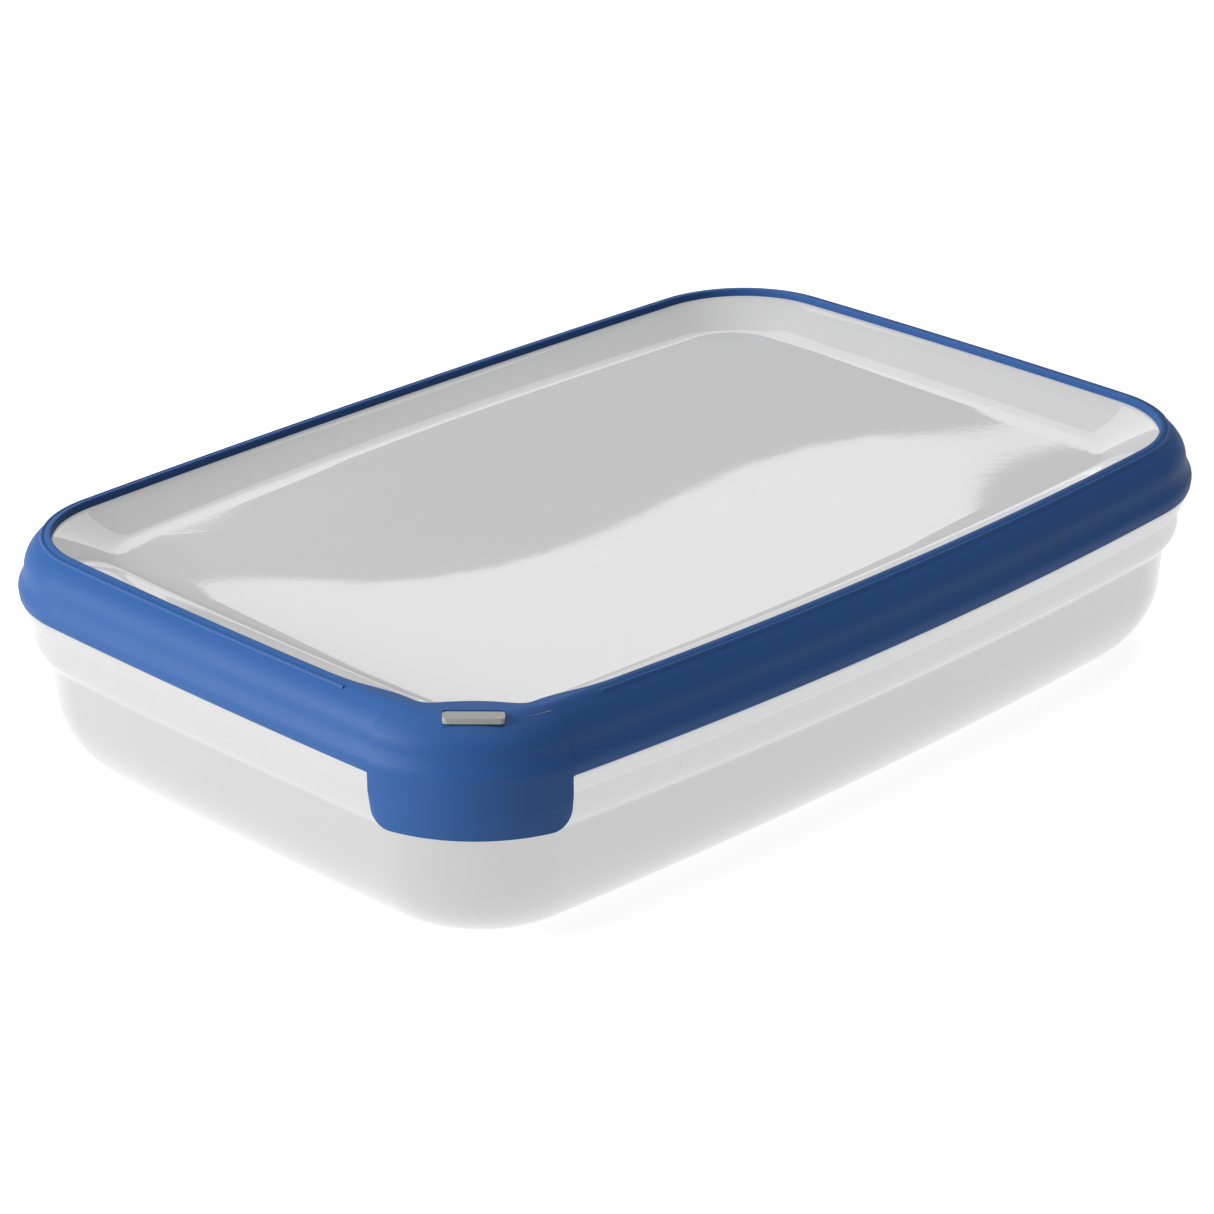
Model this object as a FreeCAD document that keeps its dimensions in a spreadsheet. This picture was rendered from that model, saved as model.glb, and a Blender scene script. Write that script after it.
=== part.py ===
import FreeCAD, Part
import math
import os
import re
import Sketcher

# Flat rectangular food box: translucent tub, and a lid made of a clear recessed panel with a soft
# rim moulded round it. One corner of the rim hangs lower as a lift tab.
# +Z up, +X along the long side, origin at the middle of the base. The lift tab is at -X, -Y.
# An inset is measured inward from the widest outline of the rim skirt.

os.makedirs("parts", exist_ok=True)
doc = FreeCAD.newDocument("food_container")

sizes = {
    # plan of the rim skirt at its widest
    "half_length": 185.0,
    "half_width": 126.2,
    "rim_corner": 49.2,
    "long_side_radius": 2105.0,
    "short_side_radius": 2940.0,
    # rim section
    "rim_top": 86.05,
    "rim_edge": 2.05,
    "skirt_height": 20.05,
    "skirt_wall": 3.6,
    "skirt_waist": 2.2,
    "waist_rise": 8.2,
    "bulge_rise": 3.3,
    "foot_draw": 0.35,
    "shoulder_drop": 9.0,
    "shoulder_radius": 13.0,
    "crown_drop": 1.3,
    "edge_break": 1.0,
    "ridge_height": 0.55,
    "ridge_inset": 8.1,
    "ridge_width": 0.9,
    "ridge_slope": 0.1,
    "seal_wall": 1.6,
    "seal_depth": 7.2,
    "seal_tip": 0.4,
    "lid_seat_gap": 0.2,
    "seat_slope": 1.9,
    # tub
    "tub_wall": 1.6,
    "tub_rim_drop": 6.55,
    "bead_depth": 1.2,
    "bead_drop": 12.35,
    "bead_flat": 2.0,
    "bead_slope": 2.0,
    "bead_gap": 0.85,
    "seal_gap": 0.8,
    "flange_inset": 1.05,
    "flange_gap": 0.5,
    "flange_edge": 1.0,
    "flange_drop": 6.5,
    "flange_slope": 2.5,
    "collar_inset": 4.15,
    "collar_top_drop": 29.05,
    "collar_bottom_drop": 36.85,
    "collar_slope": 0.6,
    "wall_inset": 8.5,
    "wall_top_drop": 43.05,
    "step_rise": 1.2,
    "draft_angle": 3.9,
    "blend_share": 0.76,
    "corner_share": 0.53,
    # lid panel
    "panel_thick": 1.5,
    "panel_drop": 1.9,
    "panel_flange": 1.75,
    "panel_land": 0.4,
    "field_inset_long": 32.7,
    "field_inset_short": 28.8,
    "field_corner": 24.0,
    "field_depth": 8.4,
    # snap lip
    "lip_reach": 1.3,
    "lip_rise": 1.3,
    "lip_thick": 4.2,
    "lip_slope_above": 1.0,
    "lip_slope_below": 2.0,
    # lift tab
    "tab_run_long": 42.5,
    "tab_run_short": 48.7,
    "tab_drop": 36.25,
    "tab_proud": 0.75,
    "tab_wall": 1.5,
    "tab_corner": 7.0,
    "tab_foot": 3.0,
    "tab_foot_draw": 0.3,
    "tab_gap": 0.3,
    "tab_step": 0.3,
    "tab_crown_inset": 9.0,
    "tab_crown_width": 1.5,
    "tab_cap_inset": 6.0,
    "stiffener_gap": 0.4,
    # flat web that widens the rim beside the tab
    "web_short": 4.8,
    "web_long": 7.9,
    "web_run": 20.0,
    "web_thick": 2.15,
    "web_overlap_short": 4.0,
    "web_overlap_long": 0.3,
    "chamfer_leg": 21.6,
    "chamfer_radius": 78.0,
    "ridge_stop": 18.5,
    # slot in the tab
    "slot_length": 18.7,
    "slot_width": 5.5,
    "slot_back": 8.0,
    "slot_round": 1.2,
    "slot_end_radius": 3.1,
    # how far cutting shapes run past what they cut
    "run_past": 12.0,
}

# Sizes that follow from others, so that pieces that fit together keep their fit.
derived = {
    "skirt_bottom": "rim_top - skirt_height",
    "tub_rim_height": "rim_top - tub_rim_drop",
    "tub_rim_inset": "skirt_wall + bead_depth + bead_gap",
    "channel_width": "bead_depth + bead_gap + tub_wall + seal_gap",
    "rim_width": "skirt_wall + channel_width + seal_wall + rim_edge",
    "bead_height": "rim_top - bead_drop",
    "collar_top": "rim_top - collar_top_drop",
    "collar_bottom": "rim_top - collar_bottom_drop",
    "wall_top": "rim_top - wall_top_drop",
    "base_blend": "wall_top * blend_share",
    "panel_edge": "rim_top - panel_drop",
    "field_half_length": "half_length - field_inset_long",
    "field_half_width": "half_width - field_inset_short",
    "lip_bottom": "skirt_bottom + lip_rise",
    "tab_bottom": "rim_top - tab_drop",
}

sheet = doc.addObject("Spreadsheet::Sheet", "Sizes")
for row, (alias, value) in enumerate(sizes.items(), start=1):
    sheet.set("A%d" % row, alias)
    sheet.set("B%d" % row, str(value))
    sheet.setAlias("B%d" % row, alias)
doc.recompute()


def cell(text):
    """Write the names in a formula as cells of the sheet, and a derived size as its own formula."""
    def named(word):
        name = word.group()
        if name in derived:
            return "(" + cell(derived[name]) + ")"
        return "Sizes." + name if name in sizes else name

    return re.sub(r"[a-z_]+", named, text)


def amount(text):
    """Number that a formula of the sheet gives now."""
    return float(sheet.evalExpression(cell(text)))


def bind(sketch, name, formula):
    sketch.setExpression("Constraints." + name, cell(formula))


def planeOf(body, role):
    return next(item for item in body.Origin.OriginFeatures if item.Role == role)


def newBody(label):
    body = doc.addObject("PartDesign::Body", label)
    body.Label = label
    return body


def newSketch(body, name, role, height="0"):
    sketch = body.newObject("Sketcher::SketchObject", name)
    sketch.AttachmentSupport = [(planeOf(body, role), "")]
    sketch.MapMode = "FlatFace"
    sketch.setExpression("AttachmentOffset.Base.z", cell(height))
    return sketch


def cornerCentre(halfLong, halfShort, corner, longRadius, shortRadius):
    """Centre of the corner arc that touches both bowed sides, in the +X +Y quarter."""
    x0, y0, r0 = 0.0, halfShort - longRadius, longRadius - corner
    x1, y1, r1 = halfLong - shortRadius, 0.0, shortRadius - corner
    gap = math.hypot(x1 - x0, y1 - y0)
    along = (r0 ** 2 - r1 ** 2 + gap ** 2) / (2 * gap)
    across = math.sqrt(r0 ** 2 - along ** 2)
    ux, uy = (x1 - x0) / gap, (y1 - y0) / gap
    return x0 + along * ux + across * uy, y0 + along * uy - across * ux


def outlineArcs(halfLong, halfShort, corner, longRadius, shortRadius):
    """Nine tangent arcs (centre, radius, start, end), anticlockwise from the +X axis."""
    cx, cy = cornerCentre(halfLong, halfShort, corner, longRadius, shortRadius)
    side = math.atan2(cy, cx - (halfLong - shortRadius))
    top = math.atan2(cy - (halfShort - longRadius), cx)
    sideX, topY = halfLong - shortRadius, halfShort - longRadius
    half, full = math.pi, 2 * math.pi
    return [
        ((sideX, 0), shortRadius, 0, side),
        ((cx, cy), corner, side, top),
        ((0, topY), longRadius, top, half - top),
        ((-cx, cy), corner, half - top, half - side),
        ((-sideX, 0), shortRadius, half - side, half + side),
        ((-cx, -cy), corner, half + side, half + top),
        ((0, -topY), longRadius, half + top, full - top),
        ((cx, -cy), corner, full - top, full - side),
        ((sideX, 0), shortRadius, full - side, full),
    ]


def insetPlan(inset, cornerInset=None):
    """Five formulas of the outline at an inset: half sides, corner and side radii."""
    return [
        "half_length - (%s)" % inset,
        "half_width - (%s)" % inset,
        "rim_corner - (%s)" % (cornerInset or inset),
        "long_side_radius - (%s)" % inset,
        "short_side_radius - (%s)" % inset,
    ]


def addOutline(sketch, plan):
    """Closed outline of bowed sides and round corners, bound to the five formulas of its plan."""
    halfLong, halfShort, corner, longRadius, shortRadius = plan
    first = sketch.GeometryCount
    up = FreeCAD.Vector(0, 0, 1)
    for centre, radius, start, end in outlineArcs(*[amount(text) for text in plan]):
        circle = Part.Circle(FreeCAD.Vector(centre[0], centre[1], 0), up, radius)
        sketch.addGeometry(Part.ArcOfCircle(circle, start, end), False)
    sketch.addConstraint([
        Sketcher.Constraint("Tangent", first + k, 2, first + (k + 1) % 9, 1) for k in range(9)])
    for k in (3, 5, 7):
        sketch.addConstraint(Sketcher.Constraint("Equal", first + 1, first + k))
    sketch.addConstraint(Sketcher.Constraint("Equal", first, first + 4))
    sketch.addConstraint(Sketcher.Constraint("Equal", first, first + 8))
    sketch.addConstraint(Sketcher.Constraint("Equal", first + 2, first + 6))
    for k, axis in ((0, -1), (4, -1), (2, -2), (6, -2)):
        sketch.addConstraint(Sketcher.Constraint("PointOnObject", first + k, 3, axis))
    sketch.addConstraint(Sketcher.Constraint("PointOnObject", first, 1, -1))
    named = (
        ("Radius", (first + 1,), corner, "corner"),
        ("Radius", (first + 2,), longRadius, "longSide"),
        ("Radius", (first,), shortRadius, "shortSide"),
        ("DistanceX", (first, 3, -1, 1), "%s - (%s)" % (shortRadius, halfLong), "right"),
        ("DistanceX", (-1, 1, first + 4, 3), "%s - (%s)" % (shortRadius, halfLong), "left"),
        ("DistanceY", (first + 2, 3, -1, 1), "%s - (%s)" % (longRadius, halfShort), "back"),
        ("DistanceY", (-1, 1, first + 6, 3), "%s - (%s)" % (longRadius, halfShort), "front"),
    )
    for kind, where, formula, name in named:
        index = sketch.addConstraint(Sketcher.Constraint(kind, *where, amount(formula)))
        sketch.renameConstraint(index, name)
        bind(sketch, name, formula)


def outlineSketch(body, name, plan, height="0"):
    sketch = newSketch(body, name, "XY_Plane", height)
    addOutline(sketch, plan)
    return sketch


def addPath(sketch, corners):
    """Closed path through corners given as (x, y) or (x, y, radius) formulas: with a radius the
    stretch to the next corner is an arc that bulges to the right of the way round."""
    count = len(corners)
    spots = [FreeCAD.Vector(amount(corner[0]), amount(corner[1]), 0) for corner in corners]
    links = []
    for k, corner in enumerate(corners):
        start, end = spots[k], spots[(k + 1) % count]
        if len(corner) == 2:
            sketch.addGeometry(Part.LineSegment(start, end), False)
            links.append((1, 2))
            continue
        radius = amount(corner[2])
        chord = end - start
        right = FreeCAD.Vector(chord.y, -chord.x, 0).normalize()
        reach = math.sqrt(max(radius ** 2 - (chord.Length / 2) ** 2, 0))
        bulge = (start + end) * 0.5 + right * (radius - reach)
        sketch.addGeometry(Part.Arc(start, bulge, end), False)
        forward = sketch.Geometry[k].StartPoint.distanceToPoint(start) < 1e-6
        links.append((1, 2) if forward else (2, 1))
    for k, corner in enumerate(corners):
        following = (k + 1) % count
        first, last = links[k]
        sketch.addConstraint(
            Sketcher.Constraint("Coincident", k, last, following, links[following][0]))
        for kind, formula, letter in (("DistanceX", corner[0], "x"), ("DistanceY", corner[1], "y")):
            value = amount(formula)
            ends = (-1, 1, k, first) if value > 0 else (k, first, -1, 1)
            index = sketch.addConstraint(Sketcher.Constraint(kind, *ends, abs(value)))
            sketch.renameConstraint(index, "%s%d" % (letter, k))
            bind(sketch, "%s%d" % (letter, k), formula if value > 0 else "0 - (%s)" % formula)
        if len(corner) == 3:
            index = sketch.addConstraint(Sketcher.Constraint("Radius", k, amount(corner[2])))
            sketch.renameConstraint(index, "r%d" % k)
            bind(sketch, "r%d" % k, corner[2])


def sectionSketch(body, name, corners):
    """Closed section in the XZ plane on the +X side, with corners as (inset, height, radius)."""
    sketch = newSketch(body, name, "XZ_Plane")
    addPath(sketch, [("half_length - (%s)" % corner[0],) + tuple(corner[1:]) for corner in corners])
    return sketch


def planSketch(body, name, corners, height="0"):
    """Closed path in a level plane."""
    sketch = newSketch(body, name, "XY_Plane", height)
    addPath(sketch, corners)
    return sketch


def sweepRing(body, name, corners):
    """Section carried all the way round the outline."""
    path = outlineSketch(body, name + "_path", insetPlan("0"))
    section = sectionSketch(body, name + "_section", corners)
    ring = body.newObject("PartDesign::AdditivePipe", name)
    ring.Profile = section
    ring.Spine = path
    body.Tip = ring
    doc.recompute()
    return ring


def loft(body, kind, name, sketches, ruled):
    feature = body.newObject("PartDesign::" + kind, name)
    feature.Profile = sketches[0]
    feature.Sections = sketches[1:]
    feature.Ruled = ruled
    body.Tip = feature
    doc.recompute()
    return feature


# ---- tub

def tubShellSections(body, name, wall):
    """Outlines of the lower wall from the flat of the base up to the step, for the outer face
    (wall 0) or the inner one. The corners keep part of their radius as the wall curves in."""
    blend = "(base_blend - (%s))" % wall
    reach = "(wall_inset + (wall_top - base_blend) * tan(draft_angle))"
    outlines = []
    for turn in range(90, 17, -12):
        inset = "%s + base_blend - %s * cos(%d)" % (reach, blend, turn)
        height = "base_blend - %s * sin(%d)" % (blend, turn)
        outlines.append((inset, height))
    outlines.append(("%s + base_blend - %s" % (reach, blend), "base_blend"))
    outlines.append(("wall_inset + (%s)" % wall, "wall_top"))
    sketches = []
    for k, (inset, height) in enumerate(outlines):
        corner = "wall_inset + (%s) + corner_share * ( %s - wall_inset - (%s) )" % (wall, inset, wall)
        sketches.append(outlineSketch(body, "%s_%d" % (name, k), insetPlan(inset, corner), height))
    return sketches


def makeTub():
    body = newBody("container_tub")
    flangeTop = "skirt_bottom - flange_gap"
    innerFace = "tub_rim_inset + tub_wall"
    sweepRing(body, "upper_wall", [
        ("wall_inset", "wall_top"),
        ("wall_inset", "wall_top + step_rise"),
        ("collar_inset + collar_slope", "collar_bottom"),
        ("collar_inset", "collar_bottom + edge_break"),
        ("collar_inset", "collar_top"),
        ("flange_inset + flange_slope", "skirt_bottom - flange_gap - flange_drop"),
        ("flange_inset", flangeTop + " - flange_edge"),
        ("flange_inset", flangeTop),
        ("tub_rim_inset", flangeTop),
        ("tub_rim_inset", "bead_height - bead_depth - bead_flat / 2"),
        ("tub_rim_inset - bead_depth", "bead_height - bead_flat / 2"),
        ("tub_rim_inset - bead_depth", "bead_height + bead_flat / 2"),
        ("tub_rim_inset", "bead_height + bead_flat / 2 + bead_slope"),
        ("tub_rim_inset", "tub_rim_height"),
        (innerFace, "tub_rim_height"),
        (innerFace, "collar_bottom + edge_break"),
        ("wall_inset + tub_wall", "wall_top + step_rise"),
        ("wall_inset + tub_wall", "wall_top"),
    ])
    loft(body, "AdditiveLoft", "lower_wall", tubShellSections(body, "outer", "0"), False)
    loft(body, "SubtractiveLoft", "cavity", tubShellSections(body, "inner", "tub_wall"), False)
    return body


# ---- lid

def prism(body, kind, name, sketch, height, reverse=None):
    """Sketch carried straight: a Pad that adds or a Pocket that cuts, upward if level."""
    before = body.Shape.Volume if body.Tip else 0
    feature = body.newObject("PartDesign::" + kind, name)
    feature.Profile = sketch
    feature.setExpression("Length", cell(height))
    feature.Reversed = kind == "Pocket" if reverse is None else reverse
    body.Tip = feature
    doc.recompute()
    change = body.Shape.Volume - before
    if change == 0 or (change > 0) != (kind == "Pad"):
        raise ValueError("%s went the wrong way: %.1f" % (name, change))
    return feature


tallest = "rim_top + run_past"
webX = "0 - (half_length - rim_width - web_short)"
webY = "0 - (half_width - rim_width - web_long)"
tabEndX = "0 - (half_length - tab_run_long)"
tabEndY = "0 - (half_width - tab_run_short)"
flangeUnder = "rim_top - web_thick - panel_thick"


def tabArea(shrink):
    """Plan of the lift tab, running past the outside of the rim. Its inner edge is a chamfer that
    bows into the lid. A positive shrink draws every edge back, a negative one lets it grow."""
    farX, farY = "0 - (half_length + run_past)", "0 - (half_width + run_past)"
    slant = "(%s) * tan(22.5)" % shrink
    return [
        (farX, "%s - (%s)" % (tabEndY, shrink)),
        (farX, farY),
        ("%s - (%s)" % (tabEndX, shrink), farY),
        ("%s - (%s)" % (tabEndX, shrink), "%s - (%s)" % (webY, shrink)),
        ("%s + chamfer_leg - %s" % (webX, slant), "%s - (%s)" % (webY, shrink), "chamfer_radius"),
        ("%s - (%s)" % (webX, shrink), "%s + chamfer_leg - %s" % (webY, slant)),
        ("%s - (%s)" % (webX, shrink), "%s - (%s)" % (tabEndY, shrink)),
    ]


def webArea():
    """Plan of the flat web that widens the rim inward beside and inside the lift tab."""
    outX = "0 - (half_length - rim_width + web_overlap_short)"
    outY = "0 - (half_width - rim_width + web_overlap_long)"
    startY = "%s + web_run" % tabEndY
    startX = "%s + web_run" % tabEndX
    return [
        (outX, startY),
        (outX, "%s - web_overlap_short / 2" % tabEndY, "rim_corner - rim_width + 1.5 * web_overlap_short"),
        (tabEndX, outY),
        (startX, outY),
        (startX, "0 - (half_width - rim_width - web_long + web_short + web_overlap_long)"),
        (tabEndX, webY),
        ("%s + chamfer_leg" % webX, webY, "chamfer_radius"),
        (webX, "%s + chamfer_leg" % webY),
        (webX, tabEndY),
        ("0 - (half_length - rim_width)", startY),
    ]


def otherArea(body, name, corners, height="0"):
    """Everything round the lid except the area inside the corners."""
    sketch = newSketch(body, name, "XY_Plane", height)
    addPath(sketch, corners)
    reachX, reachY = amount("half_length + 2 * run_past"), amount("half_width + 2 * run_past")
    frame = [(-reachX, -reachY), (reachX, -reachY), (reachX, reachY), (-reachX, reachY)]
    for k in range(4):
        ends = [FreeCAD.Vector(x, y, 0) for x, y in (frame[k], frame[(k + 1) % 4])]
        sketch.addGeometry(Part.LineSegment(*ends), False)
    return sketch


def makeRim():
    body = newBody("lid_rim")
    ridgeIn = "ridge_inset + ridge_width"
    channelIn = "skirt_wall + channel_width"
    sealIn = "skirt_wall + channel_width + seal_wall"
    channelTop = "tub_rim_height + lid_seat_gap"
    sealFoot = "tub_rim_height + lid_seat_gap - seal_depth"
    sweepRing(body, "ring", [
        ("skirt_wall", "skirt_bottom"),
        ("foot_draw", "skirt_bottom"),
        ("0", "skirt_bottom + bulge_rise"),
        ("skirt_waist", "skirt_bottom + waist_rise"),
        ("skirt_waist + ridge_slope", "rim_top - shoulder_drop", "shoulder_radius"),
        ("ridge_inset - ridge_slope", "rim_top - crown_drop"),
        ("ridge_inset", "rim_top - crown_drop + ridge_height"),
        (ridgeIn, "rim_top - crown_drop + ridge_height"),
        (ridgeIn + " + ridge_slope", "rim_top - crown_drop + ridge_height / 2"),
        ("rim_width - edge_break", "rim_top"),
        ("rim_width", "rim_top - edge_break"),
        ("rim_width", "rim_top - web_thick"),
        ("rim_width - panel_flange", "rim_top - web_thick"),
        ("rim_width - panel_flange", flangeUnder),
        (sealIn, flangeUnder),
        (sealIn, sealFoot),
        (channelIn + " + seal_tip", sealFoot),
        (channelIn, sealFoot + " + edge_break"),
        (channelIn, channelTop),
        ("skirt_wall + seat_slope", channelTop),
        ("skirt_wall", channelTop + " - seat_slope"),
    ])
    web = planSketch(body, "web_plan", webArea(), flangeUnder)
    prism(body, "Pad", "web", web, "web_thick + panel_thick")
    tab = planSketch(body, "tab_plan", tabArea("0"))
    prism(body, "Pocket", "tab_gap_cut", tab, tallest)
    plain = planSketch(body, "plain_plan", [
        ("0 - (half_length + run_past)", "%s + ridge_stop" % tabEndY),
        ("0 - (half_length + run_past)", "0 - (half_width + run_past)"),
        ("%s + ridge_stop" % tabEndX, "0 - (half_width + run_past)"),
        ("%s + ridge_stop" % tabEndX, "%s + ridge_stop" % tabEndY),
    ], "rim_top - crown_drop")
    prism(body, "Pocket", "ridge_end", plain, "ridge_height + edge_break")
    return body


def makeTab():
    body = newBody("corner_lift_tab")
    inside = "tab_wall - tab_proud"
    capTop = "tub_rim_height + lid_seat_gap"
    sweepRing(body, "corner", [
        (inside, "tab_bottom"),
        ("tab_foot_draw - tab_proud", "tab_bottom"),
        ("0 - tab_proud", "tab_bottom + tab_foot"),
        ("0 - tab_proud", "skirt_bottom + bulge_rise"),
        ("skirt_waist - tab_proud", "skirt_bottom + waist_rise"),
        ("skirt_waist - tab_proud + ridge_slope", "rim_top - shoulder_drop", "shoulder_radius"),
        ("tab_crown_inset", "rim_top - crown_drop / 2"),
        ("tab_crown_inset + tab_crown_width", "rim_top"),
        ("tab_crown_inset + tab_crown_width", "rim_top - web_thick"),
        ("tab_cap_inset + edge_break", "rim_top - web_thick"),
        ("tab_cap_inset", capTop),
        ("skirt_wall + seat_slope", capTop),
        ("skirt_wall", capTop + " - seat_slope"),
        ("skirt_wall", "skirt_bottom + tab_step"),
        (inside, "skirt_bottom + tab_step"),
    ])
    web = planSketch(body, "web_plan", webArea(), "rim_top - web_thick")
    prism(body, "Pad", "web", web, "web_thick")
    rest = otherArea(body, "rest_plan", tabArea("tab_gap"))
    prism(body, "Pocket", "trim", rest, tallest)
    middle = "(chamfer_leg / 2 - slot_back * sin(45))"
    along = "(slot_length / 2 - slot_round) * sin(45)"
    across = "slot_width / 2 * sin(45)"
    slot = planSketch(body, "slot_plan", [
        ("%s + %s + %s + %s" % (webX, middle, along, across),
         "%s + %s - %s + %s" % (webY, middle, along, across)),
        ("%s + %s - %s + %s" % (webX, middle, along, across),
         "%s + %s + %s + %s" % (webY, middle, along, across), "slot_end_radius"),
        ("%s + %s - %s - %s" % (webX, middle, along, across),
         "%s + %s + %s - %s" % (webY, middle, along, across)),
        ("%s + %s + %s - %s" % (webX, middle, along, across),
         "%s + %s - %s - %s" % (webY, middle, along, across), "slot_end_radius"),
    ], "rim_top - web_thick")
    prism(body, "Pocket", "slot", slot, "web_thick + edge_break")
    for role, end, flip in (("YZ_Plane", tabEndY, False), ("XZ_Plane", tabEndX, True)):
        edge = "%s - tab_gap" % end
        sketch = newSketch(body, "lower_corner_" + role[:2], role)
        addPath(sketch, [
            (edge + " - tab_corner", "tab_bottom", "tab_corner"),
            (edge, "tab_bottom + tab_corner"),
            (edge + " + edge_break", "tab_bottom + tab_corner"),
            (edge + " + edge_break", "tab_bottom - edge_break"),
            (edge + " - tab_corner", "tab_bottom - edge_break"),
        ])
        prism(body, "Pocket", "rounded_" + role[:2], sketch, "half_length + run_past", flip)
    return body


def makeStiffener():
    body = newBody("tab_stiffener")
    plate = outlineSketch(body, "plate_plan", insetPlan("tab_crown_inset - edge_break"), flangeUnder)
    prism(body, "Pad", "plate", plate, "panel_thick")
    rest = otherArea(body, "rest_plan", tabArea("tab_gap + stiffener_gap"))
    prism(body, "Pocket", "trim", rest, tallest)
    return body


def makePanel():
    body = newBody("lid_panel")
    edge = insetPlan("rim_width")
    land = insetPlan("rim_width + panel_land")
    field = ["field_half_length", "field_half_width", "field_corner",
             "long_side_radius", "short_side_radius"]
    flange = outlineSketch(body, "flange_plan", insetPlan("rim_width - panel_flange"), flangeUnder)
    prism(body, "Pad", "flange", flange, "panel_thick")
    rim = outlineSketch(body, "edge_plan", edge, flangeUnder)
    prism(body, "Pad", "edge", rim, "panel_edge - rim_top + web_thick + panel_thick")
    loft(body, "AdditiveLoft", "dish", [
        outlineSketch(body, "dish_top", edge, "panel_edge - panel_thick"),
        outlineSketch(body, "dish_floor", field, "panel_edge - field_depth - panel_thick"),
    ], True)
    loft(body, "SubtractiveLoft", "hollow", [
        outlineSketch(body, "hollow_top", land, "panel_edge"),
        outlineSketch(body, "hollow_floor", field, "panel_edge - field_depth"),
    ], True)
    prism(body, "Pocket", "web_cut", planSketch(body, "web_plan", webArea()), tallest)
    return body


def makeLip():
    body = newBody("snap_lip")
    sweepRing(body, "lip", [
        ("skirt_wall", "lip_bottom"),
        ("skirt_wall", "lip_bottom + lip_thick"),
        ("skirt_wall + lip_reach", "lip_bottom + lip_thick - lip_slope_above"),
        ("skirt_wall + lip_reach", "lip_bottom + lip_slope_below"),
    ])
    prism(body, "Pocket", "tab_cut", planSketch(body, "tab_plan", tabArea("0")), tallest)
    return body


pieces = [makeTub(), makePanel(), makeRim(), makeLip(), makeTab(), makeStiffener()]

doc.recompute()
for item in doc.Objects:
    if "Invalid" in item.State or "Error" in item.State:
        raise ValueError("%s failed: %s" % (item.Name, item.State))
for body in pieces:
    shape = body.Shape
    if shape.isNull() or not shape.isValid() or len(shape.Solids) != 1:
        raise ValueError("%s is not one sound solid" % body.Label)
for body in pieces:
    body.Shape.exportStep("parts/%s.step" % body.Label)
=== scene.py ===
import math

import bmesh
import bpy
from mathutils import Matrix, Vector


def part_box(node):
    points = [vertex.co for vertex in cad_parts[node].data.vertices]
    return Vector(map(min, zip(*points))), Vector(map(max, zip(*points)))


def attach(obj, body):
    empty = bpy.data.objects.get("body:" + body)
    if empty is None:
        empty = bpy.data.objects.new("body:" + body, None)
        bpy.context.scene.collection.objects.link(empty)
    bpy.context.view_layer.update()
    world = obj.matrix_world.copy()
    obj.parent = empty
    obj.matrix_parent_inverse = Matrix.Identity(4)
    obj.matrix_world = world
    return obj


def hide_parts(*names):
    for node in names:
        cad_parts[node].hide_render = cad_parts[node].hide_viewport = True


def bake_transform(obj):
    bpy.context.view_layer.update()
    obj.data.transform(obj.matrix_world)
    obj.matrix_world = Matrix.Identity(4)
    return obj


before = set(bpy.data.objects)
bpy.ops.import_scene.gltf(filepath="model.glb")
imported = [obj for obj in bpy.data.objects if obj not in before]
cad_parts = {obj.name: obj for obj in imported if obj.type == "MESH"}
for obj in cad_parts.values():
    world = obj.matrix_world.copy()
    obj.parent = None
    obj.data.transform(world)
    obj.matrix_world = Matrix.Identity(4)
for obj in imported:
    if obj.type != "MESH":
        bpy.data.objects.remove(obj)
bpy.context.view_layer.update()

mm = 0.001


def boxOf(node):
    low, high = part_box(node)
    return [value / mm for value in low], [value / mm for value in high]


rimLow, rimHigh = boxOf("lid_rim")
tubHigh = boxOf("container_tub")[1]
tabLow = boxOf("corner_lift_tab")[0]
panelHigh = boxOf("lid_panel")[1]

# Plan of the box. Everything round it is an inset of this outline: two bowed long sides, two nearly
# straight short sides and four round corners.
plan = {
    "halfLength": rimHigh[0],
    "halfWidth": rimHigh[1],
    "corner": 49.2,
    "longRadius": 2105.0,
    "shortRadius": 2940.0,
}
rimTop = 86.05  # top of the soft rim, at its inner edge
rimWidth = 11.7
lower = {"skirt": 0.8, "tab": 1.2}  # how far the soft edges hang below the CAD's
skirtBottom = rimLow[2] - lower["skirt"]
tabBottom = tabLow[2] - lower["tab"]
sag = {"depth": 1.7, "reach": 172.0, "start": 25, "full": 60}  # the long sides hang in the middle


def sagAt(x, z):
    share = min(max((z - sag["start"]) / (sag["full"] - sag["start"]), 0), 1)
    return sag["depth"] * (1 - (x / sag["reach"]) ** 2) * share


# ---- outline ----

def cornerCentre(halfLong, halfShort, corner, longRadius, shortRadius):
    x0, y0, r0 = 0.0, halfShort - longRadius, longRadius - corner
    x1, y1, r1 = halfLong - shortRadius, 0.0, shortRadius - corner
    gap = math.hypot(x1 - x0, y1 - y0)
    along = (r0 ** 2 - r1 ** 2 + gap ** 2) / (2 * gap)
    across = math.sqrt(r0 ** 2 - along ** 2)
    ux, uy = (x1 - x0) / gap, (y1 - y0) / gap
    return x0 + along * ux + across * uy, y0 + along * uy - across * ux


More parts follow.
